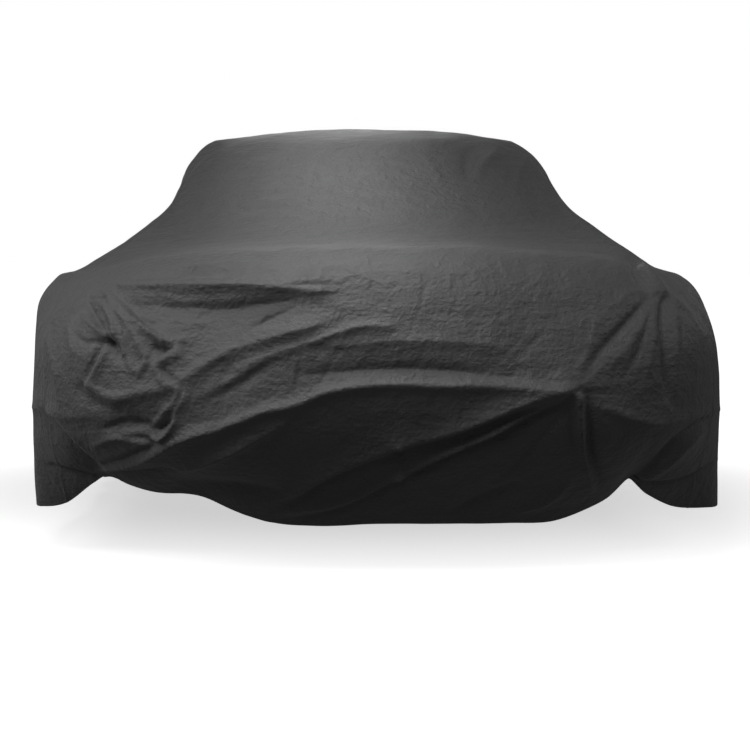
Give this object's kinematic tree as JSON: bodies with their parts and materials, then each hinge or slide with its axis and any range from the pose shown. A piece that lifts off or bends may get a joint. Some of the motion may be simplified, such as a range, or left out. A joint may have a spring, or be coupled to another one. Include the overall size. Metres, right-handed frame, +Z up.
{
  "type": "fitted car cover",
  "caption": "Fitted cloth cover for a low two-door car, draped in loose folds, with a hollow inside for the car and a hem that stays clear of the ground.",
  "frame": {"origin": "the underside of the cloth at the middle of the top, where the car's roof carries the cover", "axes": "+Z up, +Y from the nose to the tail, +X to the right as seen from in front of the nose"},
  "size_m": [2.039, 4.5111, 1.1633],
  "materials": {
    "cover_cloth": "charcoal coated woven cloth, satin matt with fine grain",
    "side_cloth": "charcoal coated woven cloth, satin matt with fine grain"
  },
  "bodies": {
    "root": {"centre_panel": "cover_cloth", "right_panel": "side_cloth", "left_panel": "side_cloth"}
  },
  "joints": []
}
